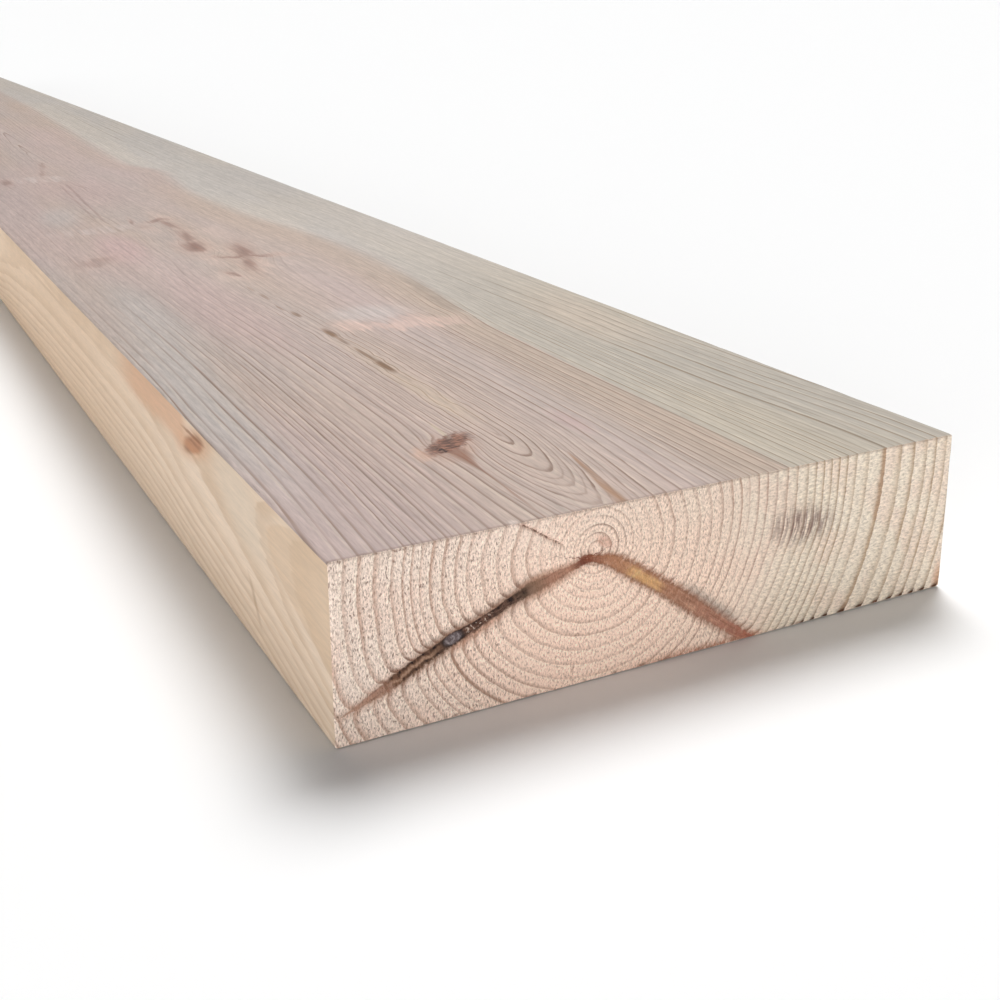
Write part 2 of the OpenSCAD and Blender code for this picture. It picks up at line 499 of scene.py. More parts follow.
# ---------------------------------------------------------------------------
# A flat layout of the surface: long faces in strips, the two ends side by side
# ---------------------------------------------------------------------------
girth = np.concatenate([[0], np.cumsum(np.hypot(np.diff(np.append(sec_y, sec_y[0])), np.diff(np.append(sec_z, sec_z[0]))))])
col_face = np.empty(NR, dtype=object)
for j in range(NR):
    n = sec_face[j]
    if n == "arc":
        n = "top" if sec_nz[j] > 0 else "bottom"
    m = sec_face[(j + 1) % NR]
    col_face[j] = n if n in ("top", "bottom") else (("top" if sec_nz[(j + 1) % NR] > 0 else "bottom") if m == "arc" else n)
STRIPS = {"top": (8, 408), "bottom": (418, 660), "left": (670, 782), "right": (792, 868)}
span = {}
for n in STRIPS:
    cols = [c for c in range(NR) if col_face[c] == n]
    if n == "top":      # runs over the end of the list
        g0 = min((girth[c] - girth[-1] if c > NR // 2 else girth[c]) for c in cols)
        g1 = max((girth[c + 1] - girth[-1] if c > NR // 2 else girth[c + 1]) for c in cols)
    else:
        g0, g1 = min(girth[c] for c in cols), max(girth[c + 1] for c in cols)
    span[n] = (g0, g1)

loops = np.empty(len(me.loops), dtype=np.int64)
me.loops.foreach_get("vertex_index", loops)
p_start = np.empty(len(me.polygons), dtype=np.int64)
p_total = np.empty(len(me.polygons), dtype=np.int64)
me.polygons.foreach_get("loop_start", p_start)
me.polygons.foreach_get("loop_total", p_total)
poly_of = np.repeat(np.arange(len(p_start)), p_total)
g_loop = group[poly_of]
u = 8 + (vs[loops] / L) * 1008
v = np.zeros(len(loops))
place = np.zeros(len(loops), dtype=np.int64)
sleeve = g_loop >= 0
place[sleeve] = loops[sleeve] % NR
for n, (v0, v1) in STRIPS.items():
    pick = sleeve & np.isin(g_loop, [c for c in range(NR) if col_face[c] == n])
    gj, pj = g_loop[pick], place[pick]
    gv = girth[pj]
    if n == "top":
        gv = np.where(pj > NR // 2, gv - girth[-1], gv)
    wrap = (gj == NR - 1) & (pj == 0)
    gv = np.where(wrap & (n != "top"), girth[-1], gv)
    g0, g1 = span[n]
    v[pick] = v0 + (gv - g0) / (g1 - g0) * (v1 - v0)
pick = g_loop == -1
u[pick] = 8 + vy[loops[pick]] / W * 560
v[pick] = 878 + vz[loops[pick]] / T * 138
pick = g_loop == -2
u[pick] = 580 + vy[loops[pick]] / W * 436
v[pick] = 878 + vz[loops[pick]] / T * 120
uv = me.uv_layers.new(name="OFBake")
uv.data.foreach_set("uv", np.stack([u / 1024, v / 1024], 1).astype(np.float32).ravel())

me.polygons.foreach_set("use_smooth", np.ones(len(me.polygons), dtype=bool))
me.set_sharp_from_angle(angle=math.radians(38))
plank = bpy.data.objects.new("timber_plank", me)
bpy.context.scene.collection.objects.link(plank)

# ---------------------------------------------------------------------------
# Material
# ---------------------------------------------------------------------------


def rgb(r, g, b):
    return tuple(((c / 255) / 12.92 if c / 255 <= 0.04045 else ((c / 255 + 0.055) / 1.055) ** 2.4) for c in (r, g, b)) + (1.0,)


class Tree:
    def __init__(self, mat):
        self.t = mat.node_tree
        self.t.nodes.clear()
        self.n = 0
        self.known = {}

    def node(self, kind, **props):
        nd = self.t.nodes.new(kind)
        nd.location = (-220 * (self.n // 12), -180 * (self.n % 12))
        self.n += 1
        for k, val in props.items():
            setattr(nd, k, val)
        return nd

    def put(self, socket, value):
        if isinstance(value, bpy.types.NodeSocket):
            self.t.links.new(value, socket)
        else:
            socket.default_value = value

    def attr(self, name):
        if name not in self.known:
            self.known[name] = self.node("ShaderNodeAttribute", attribute_name=name).outputs["Fac"]
        return self.known[name]

    def math(self, op, a, b=0.0, c=None, clamp=False):
        nd = self.node("ShaderNodeMath", operation=op, use_clamp=clamp)
        self.put(nd.inputs[0], a)
        self.put(nd.inputs[1], b)
        if c is not None:
            self.put(nd.inputs[2], c)
        return nd.outputs[0]

    def add(self, a, b): return self.math("ADD", a, b)
    def sub(self, a, b): return self.math("SUBTRACT", a, b)
    def mul(self, a, b): return self.math("MULTIPLY", a, b)
    def sat(self, a, b): return self.math("MULTIPLY", a, b, clamp=True)
    def mad(self, a, b, c): return self.math("MULTIPLY_ADD", a, b, c)
    def abs(self, a): return self.math("ABSOLUTE", a)
    def max(self, a, b): return self.math("MAXIMUM", a, b)
    def min(self, a, b): return self.math("MINIMUM", a, b)

    def step(self, x, a, b, ya=0.0, yb=1.0):
        nd = self.node("ShaderNodeMapRange", interpolation_type="SMOOTHSTEP")
        self.put(nd.inputs["Value"], x)
        lo_, hi_, y0, y1 = (a, b, ya, yb) if a < b else (b, a, yb, ya)
        nd.inputs["From Min"].default_value = lo_
        nd.inputs["From Max"].default_value = hi_
        nd.inputs["To Min"].default_value = y0
        nd.inputs["To Max"].default_value = y1
        return nd.outputs["Result"]

    def lerp(self, x, a, b, ya=0.0, yb=1.0):
        nd = self.node("ShaderNodeMapRange", interpolation_type="LINEAR")
        self.put(nd.inputs["Value"], x)
        nd.inputs["From Min"].default_value = a
        nd.inputs["From Max"].default_value = b
        nd.inputs["To Min"].default_value = ya
        nd.inputs["To Max"].default_value = yb
        return nd.outputs["Result"]

    def between(self, x, a0, a1, b0, b1):
        return self.mul(self.step(x, a0, a1), self.step(x, b1, b0))

    def mixf(self, fac, a, b):
        nd = self.node("ShaderNodeMix", data_type="FLOAT")
        self.put(nd.inputs[0], fac)
        self.put(nd.inputs[2], a)
        self.put(nd.inputs[3], b)
        return nd.outputs[0]

    def mix(self, fac, a, b, how="MIX"):
        nd = self.node("ShaderNodeMix", data_type="RGBA", blend_type=how)
        self.put(nd.inputs[0], fac)
        self.put(nd.inputs[6], a)
        self.put(nd.inputs[7], b)
        return nd.outputs[2]

    def scaled(self, vec, scale, shift=(0, 0, 0), turn=(0, 0, 0)):
        nd = self.node("ShaderNodeMapping")
        self.put(nd.inputs["Vector"], vec)
        nd.inputs["Scale"].default_value = scale
        nd.inputs["Location"].default_value = shift
        nd.inputs["Rotation"].default_value = turn
        return nd.outputs["Vector"]

    def noise(self, vec, detail=2.0, rough=0.5, scale=1.0):
        nd = self.node("ShaderNodeTexNoise", noise_dimensions="3D")
        self.put(nd.inputs["Vector"], vec)
        nd.inputs["Scale"].default_value = scale
        nd.inputs["Detail"].default_value = detail
        nd.inputs["Roughness"].default_value = rough
        return nd.outputs[0]

    def white(self, x):
        nd = self.node("ShaderNodeTexWhiteNoise", noise_dimensions="1D")
        self.put(nd.inputs["W"], x)
        return nd.outputs["Value"]

    def join(self, x, y, z=0.0):
        nd = self.node("ShaderNodeCombineXYZ")
        self.put(nd.inputs[0], x)
        self.put(nd.inputs[1], y)
        self.put(nd.inputs[2], z)
        return nd.outputs[0]

    def ramp(self, fac, stops):
        nd = self.node("ShaderNodeValToRGB")
        self.put(nd.inputs[0], fac)
        el = nd.color_ramp.elements
        while len(el) > 1:
            el.remove(el[-1])
        el[0].position, el[0].color = stops[0][0], stops[0][1]
        for pos, col in stops[1:]:
            e_ = el.new(pos)
            e_.color = col
        return nd.outputs["Color"]

    def oval(self, x, y, x0, y0, a, b, turn=0.0):
        """Distance from an oval's middle, 1 at its edge; turn in degrees from the first axis."""
        ca, sa = math.cos(math.radians(turn)), math.sin(math.radians(turn))
        p = self.mad(x, ca / a, -(x0 * ca + y0 * sa) / a)
        p = self.mad(y, sa / a, p)
        q = self.mad(y, ca / b, -(y0 * ca - x0 * sa) / b)
        q = self.mad(x, -sa / b, q)
        return self.math("SQRT", self.mad(p, p, self.mul(q, q)))


def times(t, colour, factor):
    cc = t.node("ShaderNodeCombineColor")
    for sck in cc.inputs[:3]:
        t.put(sck, factor)
    return t.mix(1.0, colour, cc.outputs[0], "MULTIPLY")


def relief(t, bsdf, height, strength):
    bump = t.node("ShaderNodeBump")
    bump.inputs["Strength"].default_value = strength
    bump.inputs["Distance"].default_value = 0.0005
    t.put(bump.inputs["Height"], height)
    t.put(bsdf.inputs["Normal"], bump.outputs[0])


def wood(name):
    """A new material with the values that the three kinds of face share."""
    mat = bpy.data.materials.new(name)
    mat.use_nodes = True
    t = Tree(mat)
    out = t.node("ShaderNodeOutputMaterial")
    bsdf = t.node("ShaderNodeBsdfPrincipled")
    bsdf.inputs["Specular IOR Level"].default_value = 0.26
    t.t.links.new(bsdf.outputs[0], out.inputs[0])
    obj = t.node("ShaderNodeTexCoord").outputs["Object"]
    S, P, H = t.attr("at_s"), t.attr("at_y"), t.attr("at_z")                # mm from the near end, the front and the underside

    n_fib = t.noise(t.scaled(obj, (80, 1050, 1050)), 3.0, 0.7)              # fibres
    n_fib2 = t.noise(t.scaled(obj, (9, 420, 420), (3, 1, 7)), 2.0, 0.55)    # bundles of fibres
    n_line = t.noise(t.scaled(obj, (16, 260, 260), (8, 4, 2)), 2.0, 0.6)    # breaks in the ring lines
    n_med = t.noise(t.scaled(obj, (7, 90, 90), (5, 2, 1)), 2.0, 0.5)        # mottling
    n_big = t.noise(t.scaled(obj, (3.2, 16, 16), (1, 8, 4)), 2.0, 0.5)      # broad tone
    n_tint = t.noise(t.scaled(obj, (5.0, 26, 26), (11, 3, 2)), 1.0, 0.5)
    n_blot = t.noise(t.scaled(obj, (60, 90, 90), (2, 9, 5)), 2.0, 0.55)     # even-sided blotches

    near_f = t.attr("f_near")
    left = t.attr("f_left")

    # growth rings
    k = t.mad(t.sub(n_fib2, 0.5), 0.17, t.attr("ring"))
    f = t.math("FRACT", k)
    i = t.math("FLOOR", k)
    rnd, rnd2 = t.white(t.add(i, 0.37)), t.white(t.add(i, 7.91))
    edge_out = t.step(f, 0.995, 0.95)
    L_soft = t.mul(t.step(f, 0.25, 0.93), edge_out)
    L_mid = t.mul(t.step(f, 0.50, 0.93), edge_out)
    L_thin = t.mul(t.step(f, 0.66, 0.92), edge_out)
    false_at = t.lerp(rnd2, 0.0, 1.0, 0.18, 0.55)
    L_false = t.mul(t.step(t.abs(t.sub(f, false_at)), 0.10, 0.0), t.step(rnd2, 0.25, 0.7))
    strong = t.step(t.abs(t.sub(k, STRONG - 0.12)), 0.5, 0.2)
    edge_r = t.step(t.abs(t.sub(k, LAST_HEART - 0.12)), 0.5, 0.2)
    heart = t.attr("heart")

    tone = t.step(n_tint, 0.36, 0.66)
    broad = t.step(n_big, 0.42, 0.66)
    return (mat, t, bsdf, obj, S, P, H, n_fib, n_fib2, n_line, n_med, n_big, n_tint, n_blot, near_f, left, k, f, rnd, L_soft, L_mid, L_thin, L_false, strong, edge_r, heart, tone, broad)


# ---- top face
(mat_top, t, bsdf, obj, S, P, H, n_fib, n_fib2, n_line, n_med, n_big, n_tint, n_blot, near_f, left, k, f, rnd, L_soft, L_mid, L_thin, L_false, strong, edge_r, heart, tone, broad) = wood("timber_top")
hm = t.step(t.math("DIVIDE", t.mad(t.sub(n_fib2, 0.5), 5.0, heart), t.step(S, 180, 340, 1.6, 8.0)), -1.0, 1.0)
fade = t.add(t.step(S, 100, 340, 1.0, 0.22), t.step(S, 700, 1150, 0.0, 0.45))
power = t.add(t.lerp(rnd, 0, 1, 0.42, 1.12), t.add(t.mul(strong, 0.5), t.mul(edge_r, 0.4)))
power = t.mul(t.mul(power, fade), t.mul(t.lerp(n_line, 0.32, 0.68, 0.35, 1.15), t.step(P, 12, 55, 0.72, 1.0)))
power = t.mul(power, t.mul(t.lerp(n_fib, 0.3, 0.7, 0.6, 1.3), t.step(t.oval(S, P, 3, 75, 13, 8), 1.3, 0.5, 1.0, 0.4)))
heart_a = t.mix(tone, rgb(190, 170, 158), rgb(185, 169, 161))
heart_a = t.mix(t.mul(broad, 0.55), heart_a, rgb(193, 170, 166))
pinkish = t.add(t.mul(t.step(t.oval(S, P, 428, 46, 52, 15, 4), 1.2, 0.3), 0.9), t.mul(t.step(t.oval(S, P, 650, 70, 95, 28), 1.2, 0.2), 0.6))
pinkish = t.add(pinkish, t.mul(t.step(t.oval(S, P, 66, 105, 16, 5), 1.2, 0.2), 0.7))
pinkish = t.add(pinkish, t.mul(t.step(t.oval(S, P, 262, 52, 90, 22), 1.2, 0.3), 0.5))
heart_a = t.mix(t.sat(pinkish, 0.8), heart_a, rgb(196, 167, 163))
greyish = t.add(t.mul(t.step(t.oval(S, P, 150, 8, 120, 17), 1.2, 0.2), 0.8), t.mul(t.step(t.oval(S, P, 260, 22, 110, 14), 1.2, 0.2), 0.6))
greyish = t.add(greyish, t.mul(t.step(t.oval(S, P, 545, 36, 48, 14, 8), 1.2, 0.2), 0.55))
greyish = t.add(greyish, t.mul(t.step(t.oval(S, P, 232, 104, 16, 22), 1.2, 0.2), 0.6))
heart_a = t.mix(t.sat(greyish, 0.85), heart_a, rgb(189, 183, 179))
dense = t.mul(t.step(heart, 30, 8), t.step(heart, -2, 1))
heart_a = t.mix(t.mul(dense, t.step(S, 430, 230, 0.25, 0.75)), heart_a, rgb(186, 166, 148))
sap_a = t.mix(tone, rgb(189, 178, 162), rgb(185, 176, 164))
sap_a = t.mix(t.step(S, 140, 420), sap_a, t.mix(tone, rgb(197, 187, 177), rgb(192, 184, 177)))
sap_a = t.mix(t.mul(t.between(S, 110, 170, 190, 260), t.between(heart, -60, -46, -36, -20)), sap_a, rgb(199, 184, 168))
top_a = t.mix(hm, sap_a, heart_a)
top_l = t.mix(hm, rgb(148, 131, 112), rgb(138, 113, 99))
L_fine = t.mul(L_thin, t.step(f, 0.70, 0.88))
top_c = t.mix(t.sat(L_fine, t.mul(power, 1.25)), top_a, top_l)
top_c = t.mix(t.mul(t.sat(L_mid, power), 0.28), top_c, top_l)
top_c = t.mix(t.mul(t.mul(L_false, fade), 0.42), top_c, top_l)
pale_l = t.mul(t.step(t.abs(t.sub(f, 0.10)), 0.16, 0.0), t.mul(fade, t.lerp(n_line, 0.35, 0.65, 0.1, 0.5)))
top_c = t.mix(pale_l, top_c, t.mix(hm, rgb(214, 206, 188), rgb(209, 193, 176)))

# bare band beside the second whorl, pale bands of lifted fibre
Sw = t.mad(t.sub(n_line, 0.5), 26.0, t.mad(t.sub(n_blot, 0.5), 24.0, S))
Pw = t.mad(t.sub(n_med, 0.5), 14.0, P)
band = t.mul(t.between(t.mad(P, 0.16, Sw), 215, 222, 228, 238), t.between(Pw, 76, 88, 130, 142))
top_c = t.mix(t.mul(band, t.lerp(n_line, 0.3, 0.7, 0.3, 0.85)), top_c, rgb(217, 187, 174))
bleach = t.mul(t.between(Sw, 216, 224, 230, 256), t.between(Pw, 78, 92, 114, 138))
bleach = t.max(bleach, t.mul(t.between(t.mad(P, -0.25, Sw), 466, 474, 484, 496), t.between(Pw, 14, 26, 62, 76)))
bleach = t.max(bleach, t.mul(t.between(Sw, 706, 714, 736, 746), t.between(Pw, 30, 42, 66, 76)))
top_c = t.mix(t.mul(bleach, t.lerp(n_line, 0.36, 0.64, 0.0, 0.6)), top_c, rgb(207, 192, 186))

wedge = t.max(t.mul(t.step(t.oval(Sw, P, 254, 142.6, 42, 4.4, 6), 1.4, 0.3), 0.5), t.mul(t.step(t.oval(Sw, P, 296, 133.5, 16, 4.0, 9), 1.4, 0.2), 0.35))
top_c = t.mix(wedge, top_c, rgb(156, 140, 126))

# pith brought to the surface: warm wood, dark streaks in it, the amber streak at the end
pith_p = t.lerp(S, 60, 300, 78.9, 77.0)
warm = t.mul(t.step(t.abs(t.sub(P, pith_p)), 6.0, 1.5), t.mul(t.between(S, 70, 100, 150, 230), t.lerp(n_med, 0.3, 0.7, 0.3, 0.9)))
top_c = t.mix(t.mul(warm, 0.55), top_c, rgb(200, 180, 154))
dark_s = None
for s0, c0, a, b, how in [(153, 79.0, 10, 1.7, 1.0), (169, 78.6, 13, 0.8, 0.8), (207, 78.5, 8, 1.5, 0.95), (196, 78.4, 9, 0.8, 0.6),
                          (243, 77.4, 6, 1.2, 0.75), (257, 75.2, 6, 0.8, 0.45), (282, 76.3, 7, 1.0, 0.5), (300, 75.6, 6, 0.8, 0.35)]:
    m_ = t.mul(t.step(t.oval(t.mad(t.sub(n_blot, 0.5), 10.0, S), t.mad(t.sub(n_fib2, 0.5), 2.8, P), s0, c0, a, b), 1.45, 0.40), how)
    dark_s = m_ if dark_s is None else t.max(dark_s, m_)
top_c = t.mix(t.mul(dark_s, 0.92), top_c, t.mix(n_fib, rgb(84, 60, 42), rgb(150, 114, 82)))
amber_c = t.lerp(S, 0, 42, 82.4, 89.8)
amber_w = t.lerp(S, 0, 42, 2.3, 0.35)
amber = t.mul(t.step(t.math("DIVIDE", t.abs(t.sub(P, amber_c)), amber_w), 1.25, 0.35), t.step(S, 46, 34))
top_c = t.mix(t.mul(amber, t.lerp(n_fib2, 0.3, 0.7, 0.55, 1.0)), top_c, rgb(160, 124, 98))

# the knot by the near end: a dark torn eye, its pale side and the tail drawn out to the end
n_rag = t.noise(t.scaled(obj, (330, 420, 420), (6, 6, 3)), 2.0, 0.6)
Sk = t.mad(t.sub(n_rag, 0.5), 10.0, S)
Pk = t.mad(t.sub(n_fib2, 0.5), 3.4, P)
eye = t.oval(Sk, Pk, 64.4, 62.4, 11.0, 4.5, 53)
halo = t.step(t.oval(Sk, Pk, 61, 61.5, 15, 9.5, 30), 1.2, 0.3)
top_c = t.mix(t.mul(halo, 0.5), top_c, rgb(176, 138, 118))
tail_c = t.lerp(S, 0, 58, 59.4, 61.2)
tail_w = t.step(S, 34, 59, 0.45, 3.6)
tail = t.mul(t.step(t.math("DIVIDE", t.abs(t.sub(Pk, tail_c)), tail_w), 1.2, 0.3), t.mul(t.step(S, 61, 57), t.step(S, 2, 40, 0.4, 1.0)))
top_c = t.mix(t.mul(tail, t.lerp(n_fib, 0.3, 0.7, 0.55, 1.0)), top_c, rgb(138, 98, 78))
side_p = t.step(t.oval(Sk, Pk, 58.4, 51.0, 6.5, 3.2, 10), 1.4, 0.2)
top_c = t.mix(t.mul(side_p, 0.62), top_c, rgb(218, 180, 158))
lip = t.step(t.oval(S, P, 76, 64.9, 9, 0.8, 4), 1.3, 0.4)
top_c = t.mix(t.mul(lip, 0.5), top_c, rgb(214, 198, 170))
eye_g = t.noise(t.scaled(obj, (1050, 260, 500), (4, 4, 4), (0, 0, 0.64)), 3.0, 0.65)
eye_c = t.mix(t.step(eye_g, 0.36, 0.66), rgb(76, 44, 33), rgb(158, 110, 88))
top_c = t.mix(t.mul(t.step(eye, 1.35, 0.6), 0.95), top_c, eye_c)
pit = t.step(t.oval(Sk, Pk, 60.4, 58.0, 1.5, 1.1), 1.3, 0.6)
top_c = t.mix(t.mul(pit, 0.9), top_c, rgb(46, 29, 25))

# pale spot at the top corner: torn tuft, partly a painted highlight
top_c = t.mix(t.mul(t.step(t.oval(S, P, 0.6, 50.4, 2.6, 1.3), 1.3, 0.5), 0.8), top_c, rgb(228, 210, 200))
# painted shade: the top is darkened along the near end's edge, as the shade of the eased arris
painted_edge_shade_top = t.mul(t.step(S, 1.9, 0.7), t.step(P, 128, 96))
top_c = t.mix(t.mul(painted_edge_shade_top, t.lerp(n_line, 0.3, 0.7, 0.2, 0.6)), top_c, rgb(140, 114, 100))

# soft knots of the whorls further along
soft_k = soft_h = None
for s0, c0, a, b, turn, how in [(377, 97, 12, 3.4, 106, 0.75), (388, 99.5, 21, 4.0, 10, 0.8), (355, 93, 15, 2.8, 9, 0.75),
                                (416, 80.5, 14, 4.4, 9, 0.95), (446, 85.0, 20, 2.8, 9, 0.7), (506, 84.6, 7, 3.6, 40, 0.65),
                                (490, 87.4, 17, 2.2, -5, 0.6), (507, 69.5, 10, 1.2, 5, 0.55), (336, 78.5, 6, 1.9, -8, 0.75),
                                (488, 72, 7, 3.0, 0, 0.25), (398, 28, 12, 6, 30, 0.35), (716, 30, 13, 3, 5, 0.6), (757, 61, 18, 2.0, 8, 0.35),
                                (803, 68, 20, 2.0, 6, 0.35), (1512, 78, 15, 8, -8, 0.9)]:
    e_ = t.oval(t.mad(t.sub(n_blot, 0.5), 22.0, S), t.mad(t.sub(n_line, 0.5), 7.0, P), s0, c0, a, b, turn)
    m_ = t.mul(t.step(e_, 1.7, 0.2), how)
    h_ = t.mul(t.step(e_, 3.2, 0.9), how)
    soft_k = m_ if soft_k is None else t.max(soft_k, m_)
    soft_h = h_ if soft_h is None else t.max(soft_h, h_)
paler = None
for s0, c0, a, b in [(455, 103, 24, 7), (330, 76, 13, 7), (372, 80, 16, 5), (478, 74, 20, 6), (521, 89, 18, 4), (352, 99, 12, 4)]:
    m_ = t.step(t.oval(t.mad(t.sub(n_blot, 0.5), 30.0, S), t.mad(t.sub(n_line, 0.5), 7.0, P), s0, c0, a, b), 1.5, 0.2)
    paler = m_ if paler is None else t.max(paler, m_)
top_c = t.mix(t.mul(soft_h, 0.42), top_c, rgb(198, 164, 148))
top_c = t.mix(t.mul(paler, 0.55), top_c, rgb(208, 184, 172))
top_c = t.mix(t.mul(soft_k, t.lerp(n_fib2, 0.3, 0.7, 0.7, 1.0)), top_c, t.mix(n_fib2, rgb(110, 78, 68), rgb(150, 114, 100)))
pair = None
for off, how in ((0.0, 0.5), (-4.2, 0.35)):
    ln = t.mad(t.sub(n_med, 0.5), 2.0, t.sub(P, t.lerp(S, 500, 700, 55.0 + off, 66.4 + off)))
    m_ = t.mul(t.mul(t.step(t.abs(ln), 1.3, 0.2), t.between(S, 505, 540, 670, 705)), how)
    pair = m_ if pair is None else t.max(pair, m_)
top_c = t.mix(pair, top_c, rgb(150, 124, 116))

fibre_f = t.mul(t.lerp(n_fib, 0.2, 0.8, 0.74, 1.26), t.lerp(n_fib2, 0.25, 0.75, 0.92, 1.08))
dim = t.mul(t.step(P, 82, 15, 1.0, 0.905), t.mul(t.step(S, 380, 700, 1.0, 0.93), t.step(P, 140, 185, 1.0, 0.92)))
t.put(bsdf.inputs["Base Color"], times(t, top_c, t.mul(t.mul(fibre_f, dim), t.lerp(n_big, 0.25, 0.75, 0.97, 1.03))))
t.put(bsdf.inputs["Roughness"], t.lerp(n_fib, 0.2, 0.8, 0.56, 0.72))
h_top = t.add(t.mul(n_fib, 0.24), t.mul(L_thin, 0.16))
relief(t, bsdf, t.sub(h_top, t.mul(t.step(eye, 1.2, 0.8), t.mul(eye_g, 0.7))), 0.6)

# ---- front, back and underside
(mat_side, t, bsdf, obj, S, P, H, n_fib, n_fib2, n_line, n_med, n_big, n_tint, n_blot, near_f, left, k, f, rnd, L_soft, L_mid, L_thin, L_false, strong, edge_r, heart, tone, broad) = wood("timber_side")
side_p_ = t.mul(t.lerp(rnd, 0, 1, 0.55, 1.0), t.lerp(n_line, 0.3, 0.7, 0.7, 1.0))
f2 = t.math("FRACT", t.mul(k, 2.0))
L_two = t.mul(t.step(f2, 0.30, 0.92), t.step(f2, 0.998, 0.93))
side_a = t.mix(tone, rgb(226, 205, 183), rgb(222, 200, 177))
side_a = t.mix(t.mul(t.step(S, 90, 330), 0.5), side_a, rgb(219, 190, 160))
side_c = t.mix(t.mul(t.sat(L_soft, side_p_), 0.30), side_a, rgb(200, 172, 143))
side_c = t.mix(t.mul(t.sat(L_two, side_p_), t.lerp(n_blot, 0.3, 0.7, 0.45, 0.8)), side_c, rgb(197, 168, 138))
light_z = t.step(t.oval(S, H, 74, 40, 30, 13, 20), 1.2, 0.4)
side_c = t.mix(t.mul(t.mul(light_z, left), 0.5), side_c, rgb(214, 198, 178))
arch = t.mad(t.mul(t.sub(H, 39.5), t.sub(H, 39.5)), t.step(H, 36, 43, -0.128, -0.24), 48.0)
patch = t.mul(t.step(t.sub(t.mad(t.sub(n_blot, 0.5), 3.0, arch), S), -1.5, 2.5), left)
side_c = t.mix(t.mul(patch, 0.62), side_c, t.mix(n_line, rgb(203, 174, 143), rgb(212, 186, 158)))
salm = t.mul(t.mul(t.between(t.mad(t.sub(n_blot, 0.5), 14.0, S), 120, 136, 196, 240), t.step(t.mad(n_blot, 5.0, H), 38, 44)), left)
side_c = t.mix(t.mul(salm, 0.8), side_c, rgb(208, 166, 134))
cres = t.step(t.oval(t.mad(t.sub(n_blot, 0.5), 3.0, S), H, 62, 14, 7.5, 1.5, 52), 1.5, 0.2)
side_c = t.mix(t.mul(t.mul(cres, left), 0.6), side_c, rgb(176, 146, 116))
sk = t.oval(t.mad(t.sub(n_blot, 0.5), 5.0, S), t.mad(t.sub(n_line, 0.5), 2.4, H), 120, 42.8, 13.0, 3.2, -16)
side_c = t.mix(t.mul(t.mul(t.step(sk, 2.4, 0.8), left), 0.5), side_c, rgb(204, 158, 124))
sk_c = t.mix(t.step(n_fib2, 0.36, 0.62), rgb(134, 90, 62), rgb(184, 134, 100))
side_c = t.mix(t.mul(t.step(sk, 1.25, 0.6), left), side_c, sk_c)
sk2 = t.oval(S, t.mad(t.sub(n_line, 0.5), 2.0, H), 120, 45.7, 14, 0.8, -2)
side_c = t.mix(t.mul(t.mul(t.step(sk2, 1.3, 0.4), left), 0.75), side_c, rgb(136, 92, 62))
kn = t.mul(t.attr("knot"), t.step(t.mul(left, t.step(S, 300, 200)), 0.5, 0.1))
kn_c = t.mix(t.step(t.noise(t.scaled(obj, (200, 300, 300)), 2.0, 0.6), 0.38, 0.64), rgb(118, 80, 58), rgb(172, 126, 94))
side_c = t.mix(t.mul(t.step(t.mad(t.sub(n_fib2, 0.5), 0.5, kn), 0.1, 0.5), 0.9), side_c, kn_c)
fibre_f = t.mul(t.lerp(n_fib, 0.2, 0.8, 0.885, 1.115), t.lerp(n_fib2, 0.25, 0.75, 0.955, 1.045))
t.put(bsdf.inputs["Base Color"], times(t, side_c, t.mul(fibre_f, t.lerp(n_big, 0.25, 0.75, 0.97, 1.03))))
t.put(bsdf.inputs["Roughness"], t.lerp(n_fib, 0.2, 0.8, 0.56, 0.72))
relief(t, bsdf, t.add(t.mul(n_fib, 0.24), t.mul(L_thin, 0.16)), 0.6)

# ---- sawn ends
(mat_end, t, bsdf, obj, S, P, H, n_fib, n_fib2, n_line, n_med, n_big, n_tint, n_blot, near_f, left, k, f, rnd, L_soft, L_mid, L_thin, L_false, strong, edge_r, heart, tone, broad) = wood("timber_end")
m_l, m_r = t.step(P, 64, 42), t.step(P, 110, 140)
# the saw strokes colour the sawn ends lighter and darker: partly the torn fibres' own colour, partly painted shade and
# highlight of the torn relief
n_v = t.noise(t.scaled(obj, (300, 2100, 950), (2, 2, 9)), 2.0, 0.65)                          # upright strokes
n_w = t.noise(t.scaled(obj, (300, 1800, 980), (7, 5, 1), (0.62, 0, 0)), 3.0, 0.7)             # slanting worms
n_h = t.noise(t.scaled(obj, (300, 620, 1550), (1, 3, 6)), 2.0, 0.7)                           # level scratches
n_saw = t.mixf(m_r, t.mixf(m_l, n_w, n_v), n_h)
n_pit = t.noise(t.scaled(obj, (300, 1700, 760), (9, 1, 4)), 1.0, 0.5)
late_r = t.step(heart, 6, -10)
end_a = t.mix(t.step(P, 40, 150), rgb(238, 219, 205), rgb(236, 223, 205))
end_a = t.mix(t.mul(t.step(n_med, 0.4, 0.65), 0.35), end_a, rgb(236, 206, 190))
end_a = t.mix(t.mul(t.step(t.oval(P, H, 78, 18, 56, 38), 1.3, 0.3), 0.8), end_a, rgb(252, 221, 201))
end_l = t.mix(late_r, rgb(182, 148, 130), rgb(180, 152, 126))
e_pow = t.add(t.lerp(rnd, 0, 1, 0.30, 0.95), t.add(t.mul(strong, 0.45), t.mul(late_r, 0.15)))
e_pow = t.mul(e_pow, t.lerp(n_med, 0.3, 0.7, 0.5, 1.1))
by_pith = t.oval(P, H, 74.8, 38.3, 20, 20)
e_pow = t.mul(e_pow, t.step(by_pith, 0.5, 1.6, 0.45, 1.0))
end_c = t.mix(t.sat(L_thin, e_pow), end_a, end_l)
end_c = t.mix(t.mul(t.sat(L_mid, e_pow), t.mul(late_r, 0.45)), end_c, end_l)
end_c = t.mix(t.mul(L_soft, t.mul(late_r, 0.32)), end_c, rgb(198, 177, 150))
end_c = t.mix(t.mul(t.mul(L_mid, m_l), t.lerp(rnd, 0, 1, 0.06, 0.5)), end_c, rgb(188, 158, 142))
